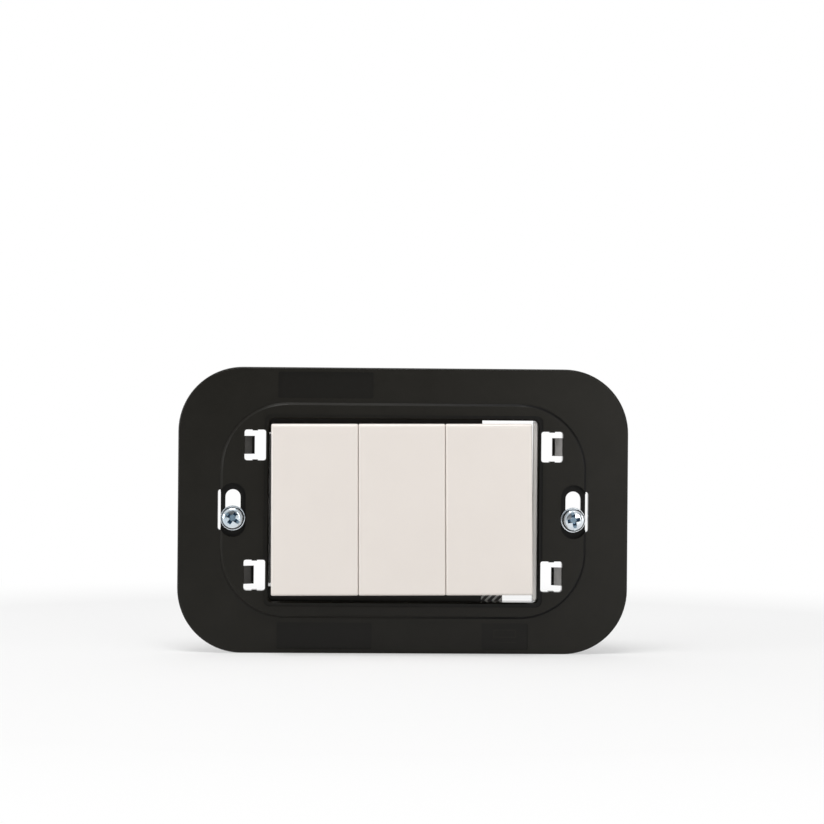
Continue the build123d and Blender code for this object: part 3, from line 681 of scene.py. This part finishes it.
def thread(name, radius, depth, pitch, start, end, segments=36, per_turn=6):
    """Threaded rod along Y from start to end, tapering to a point-off chamfer at its end."""
    rows = int((end - start) / pitch * per_turn)
    points = []
    faces = []
    for j in range(rows + 1):
        y = start + (end - start) * j / rows
        fade = min(1.0, (y - start) / (1.5 * pitch), (end - y) / (1.2 * pitch) + 0.15)
        for i in range(segments):
            turn = i / segments
            phase = ((y - start) / pitch - turn) % 1.0
            ridge = 1 - abs(2 * phase - 1)
            crest = min(1.0, ridge * 1.35)
            r = radius - depth + depth * crest * max(0.0, fade)
            if end - y < pitch:
                r = min(r, radius - depth + (end - y) * 0.6)
            a = 2 * math.pi * turn
            points.append((r * math.cos(a), y, r * math.sin(a)))
    for j in range(rows):
        for i in range(segments):
            n = (i + 1) % segments
            a, b = j * segments + i, j * segments + n
            faces.append((a, b, b + segments, a + segments))
    faces.append(tuple(range(segments)))
    faces.append(tuple(range(rows * segments, (rows + 1) * segments)))
    return mesh_from(name, points, faces)


def pan_head(name, radius, height, back, side):
    """Pan head whose flat underside is at y = back; side is the way its face looks."""
    front = back + side * height
    rim = 0.12
    profile = [(0, back), (radius * (1 - rim / 2), back), (radius, back + side * height * rim)]
    steps = 10
    for i in range(steps + 1):
        a = math.pi / 2 * i / steps
        r = radius * 0.52 + radius * 0.48 * math.cos(a)
        profile.append((r, back + side * height * (0.38 + 0.56 * math.sin(a))))
    profile.append((radius * 0.3, front - side * height * 0.01))
    profile.append((0, front))
    return lathe(name, profile, 72)


def cross_cutter(radius, depth, face, side):
    """Tapered cross recess with one arm lengthened into a shallower slot."""
    above = face + side * CUTTER_ABOVE
    reach = radius * CROSS_REACH
    width = radius * CROSS_WIDTH
    arms = []
    for upright in (False, True):
        sections = []
        for y, shrink in ((above, 1.06), (face, 1.0), (face - side * depth, 0.45)):
            a, b = reach * shrink, width * (0.75 + 0.25 * shrink)
            if upright:
                a, b = b, a
            sections.append([(a, y, b), (-a, y, b), (-a, y, -b), (a, y, -b)])
        arms.append(loft("arm", sections))
    cutter = boolean(arms[0], arms[1], "UNION")
    long = radius * SLOT_REACH
    half = radius * SLOT_WIDTH
    ends = sorted((face - side * depth * SLOT_DEPTH, face + side * SLOT_ABOVE))
    return boolean(
        cutter, box_mesh("slot", (-long, ends[0], -half), (long, ends[1], half)), "UNION"
    )


def build_mounting_screw(side, turn, materials):
    """Pan-head machine screw with a combination recess and a rolled thread."""
    low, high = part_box("mounting_screw_" + side)
    centre = (low + high) / 2
    radius = (high.x - low.x) / 2
    back = low.y + HEAD_HEIGHT
    head = pan_head("fixing_screw_" + side, radius, HEAD_HEIGHT, back, -1)
    cutter = cross_cutter(radius, HEAD_HEIGHT * HEAD_RECESS, low.y, -1)
    boolean(head, cutter)
    start = back - NECK_LAP
    end = back + NECK_LENGTH
    profile = [
        (0, start), (NECK_RADIUS, start), (NECK_RADIUS, end),
        (NECK_RADIUS - THREAD_DEPTH, end + NECK_TAPER), (0, end + NECK_TAPER),
    ]
    neck = lathe("neck", profile, 48)
    rod = thread(
        "rod", THREAD_RADIUS, THREAD_DEPTH, THREAD_PITCH, end - ROD_LAP, high.y
    )
    boolean(head, neck, "UNION")
    boolean(head, rod, "UNION")
    head.data.transform(Matrix.Rotation(math.radians(turn), 4, "Y"))
    shift(head, centre.x, 0, centre.z)
    smooth(head, 32)
    paint(head, materials["screw"])
    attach(head, "screw_" + side)
    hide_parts("mounting_screw_" + side)


def build_terminal_screw(end, module, turn, materials):
    """Terminal screw with a combination recess, seen in the back cover's hole."""
    node = "terminal_screw_" + end + "_" + module
    low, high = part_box(node)
    centre = (low + high) / 2
    radius = (high.x - low.x) / 2
    back = high.y - TERMINAL_HEAD_HEIGHT
    head = pan_head("clamp_screw_" + end + "_" + module, radius, TERMINAL_HEAD_HEIGHT, back, 1)
    cutter = cross_cutter(radius, TERMINAL_HEAD_HEIGHT * TERMINAL_RECESS, high.y, 1)
    boolean(head, cutter)
    rod = thread(
        "rod", TERMINAL_RADIUS, TERMINAL_THREAD_DEPTH, TERMINAL_PITCH, -(back + NECK_TAPER),
        -low.y, 32, 5
    )
    rod.data.transform(Matrix.Rotation(math.pi, 4, "Z"))
    boolean(head, rod, "UNION")
    head.data.transform(Matrix.Rotation(math.radians(turn), 4, "Y"))
    shift(head, centre.x, 0, centre.z)
    smooth(head, 32)
    paint(head, materials["steel"])
    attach(head, node)
    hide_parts(node)


def finish_cad_nodes(materials):
    """Gives every CAD node that stays its material and softly rounded edges."""
    looks = {
        "mounting_frame": ("frame", 0.28), "screw_washer": ("zinc", 0.06),
        "housing": ("body", 0.15), "back_cover": ("body", 0.15), "rocker": ("body", 0.1),
        "plunger": ("inner", 0.05), "plunger_spring": ("steel", 0.0),
        "moving_contact": ("brass", 0.06), "fixed_terminal": ("brass", 0.08),
        "common_terminal": ("brass", 0.08),
    }
    for node, obj in frame["nodes"].items():
        family = max((k for k in looks if node.startswith(k)), key=len, default=None)
        if family is None:
            continue
        material, radius = looks[family]
        obj.data.materials.clear()
        obj.data.materials.append(materials[material])
        for polygon in obj.data.polygons:
            polygon.material_index = 0
        if radius:
            bevel(obj, radius * MM, 2, 40, weld=True)


# ------------------------------------------------------------------ stage
def make_camera():
    """Level camera, turned a little to see more of the right inner walls."""
    data = bpy.data.cameras.new("camera")
    data.sensor_width = SENSOR
    data.lens = SENSOR * CAMERA_DISTANCE / VIEW_WIDTH
    data.clip_start = 0.01
    data.clip_end = 20
    camera = bpy.data.objects.new("camera", data)
    bpy.context.scene.collection.objects.link(camera)
    upright = Matrix.Rotation(math.pi / 2, 4, "X")
    roll = Matrix.Rotation(CAMERA_ROLL, 4, "Z")
    yaw = Matrix.Rotation(-CAMERA_YAW, 4, "Z")
    target = Matrix.Translation((CAMERA_X, PLATEAU_Y, CAMERA_Z))
    away = Matrix.Translation((0, -CAMERA_DISTANCE, 0))
    camera.matrix_world = target @ yaw @ away @ upright @ roll
    bpy.context.scene.camera = camera


def area_light(name, place, aim, size, power, colour=(1, 1, 1)):
    """Square area lamp at a place, facing a point."""
    data = bpy.data.lights.new(name, "AREA")
    data.shape = "RECTANGLE"
    data.size, data.size_y = size
    data.energy = power
    data.color = colour
    lamp = bpy.data.objects.new(name, data)
    bpy.context.scene.collection.objects.link(lamp)
    way = Vector(aim) - Vector(place)
    lamp.rotation_euler = way.to_track_quat("-Z", "Y").to_euler()
    lamp.location = place


def make_world():
    """White studio: bright all round, dimmer on the right and in a cone in front."""
    world = bpy.data.worlds.new("studio")
    bpy.context.scene.world = world
    world.use_nodes = True
    tree = world.node_tree
    back = tree.nodes["Background"]
    place = tree.nodes.new("ShaderNodeTexCoord")
    split = tree.nodes.new("ShaderNodeSeparateXYZ")
    tree.links.new(place.outputs["Generated"], split.inputs[0])
    front = math_node(tree, "MULTIPLY", split.outputs["Y"], -1.0)
    room = remap(tree, front, WORLD_CONE[0], WORLD_CONE[1], WORLD_SIDE, WORLD_FRONT)
    sideways = remap(
        tree, split.outputs["X"], WORLD_TURN[0], WORLD_TURN[1], 1.0, WORLD_RIGHT
    )
    room = math_node(tree, "MULTIPLY", room, sideways)
    path = tree.nodes.new("ShaderNodeLightPath")
    behind = remap(tree, front, 0.0, 0.35, 1.0, 0.0)
    glossy = math_node(tree, "MULTIPLY", path.outputs["Is Glossy Ray"], behind)
    seen = math_node(
        tree, "MAXIMUM", path.outputs["Is Camera Ray"], path.outputs["Is Transmission Ray"]
    )
    seen = math_node(tree, "MAXIMUM", seen, glossy)
    tree.links.new(math_node(tree, "MAXIMUM", seen, room), back.inputs["Strength"])
    back.inputs["Color"].default_value = (1, 1, 1, 1)


def make_floor():
    """White floor under the plate's lower edge, which keeps the object's shadow."""
    corners = ((-1, -1), (1, -1), (1, 1), (-1, 1))
    floor = mesh_from(
        "floor", [(FLOOR_HALF * x, FLOOR_HALF * y, 0) for x, y in corners], [(0, 1, 2, 3)]
    )
    floor.location.z = cad_low.z
    material = bpy.data.materials.new("floor_white")
    material.use_nodes = True
    tree = material.node_tree
    shader = tree.nodes["Principled BSDF"]
    shader.inputs["Base Color"].default_value = FLOOR_COLOUR
    shader.inputs["Roughness"].default_value = FLOOR_ROUGH
    shader.inputs["Specular IOR Level"].default_value = 0.0
    output = tree.nodes["Material Output"]
    place = tree.nodes.new("ShaderNodeTexCoord")
    distance = tree.nodes.new("ShaderNodeVectorMath")
    distance.operation = "LENGTH"
    tree.links.new(place.outputs["Object"], distance.inputs[0])
    far = remap(tree, distance.outputs["Value"], FLOOR_FADE[0], FLOOR_FADE[1], 0.0, 1.0)
    path = tree.nodes.new("ShaderNodeLightPath")
    seen = math_node(
        tree, "MAXIMUM", path.outputs["Is Camera Ray"], path.outputs["Is Transmission Ray"]
    )
    seen = math_node(tree, "MAXIMUM", seen, path.outputs["Is Glossy Ray"])
    # near the object: a share of the lit, shadowed floor, lifted by a share of white
    near = tree.nodes.new("ShaderNodeMixShader")
    plain_white = tree.nodes.new("ShaderNodeEmission")
    lift = math_node(tree, "MULTIPLY", seen, FLOOR_LIFT)
    fade = math_node(tree, "MULTIPLY", seen, far)
    tree.links.new(math_node(tree, "MAXIMUM", lift, fade), near.inputs["Fac"])
    tree.links.new(shader.outputs["BSDF"], near.inputs[1])
    tree.links.new(plain_white.outputs["Emission"], near.inputs[2])
    tree.links.new(near.outputs["Shader"], output.inputs["Surface"])
    paint(floor, material)


def make_lights():
    """Soft lamp overhead, a broad low one at the front right and one at each side."""
    area_light("overhead", (-0.08, -0.34, 0.9), (0, 0, 0), (0.45, 0.3), 4.0)
    area_light("front_right", (0.29, -0.80, 0.0), (0.03, 0, 0), (0.22, 0.7), 1.6, (1, 0.97, 0.92))
    area_light("side_left", (-0.85, -0.34, 0.12), (0, 0, 0), (0.3, 0.5), 2.2)
    area_light("side_right", (0.85, -0.30, 0.12), (0, 0, 0), (0.3, 0.5), 1.0)


# ------------------------------------------------------------------ scene
materials = make_materials()
# painted shade on the frame's recesses and plateau step, and a painted highlight on its clip ramps
paint_frame_shade_and_highlight(materials["frame"])
# painted highlight and shade on the latch noses
paint_latch_light_and_shade(materials["body"])
# painted shade down in the mounting screws' cross recesses
screw_low, screw_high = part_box("mounting_screw_right")
paint_recess_shade(
    materials["screw"], (screw_low + screw_high) / 2, (screw_high.x - screw_low.x) / 2, screw_low.y
)
finish_cad_nodes(materials)
for module in MODULES:
    build_key(module, materials)
build_side_lip(materials)
build_mounting_screw("left", 35, materials)
build_mounting_screw("right", 80, materials)
for index, module in enumerate(MODULES):
    build_terminal_screw("upper", module, 15 + 40 * index, materials)
    build_terminal_screw("lower", module, 70 + 25 * index, materials)

make_camera()
make_world()
make_floor()
make_lights()
bpy.context.scene.view_settings.view_transform = "Standard"
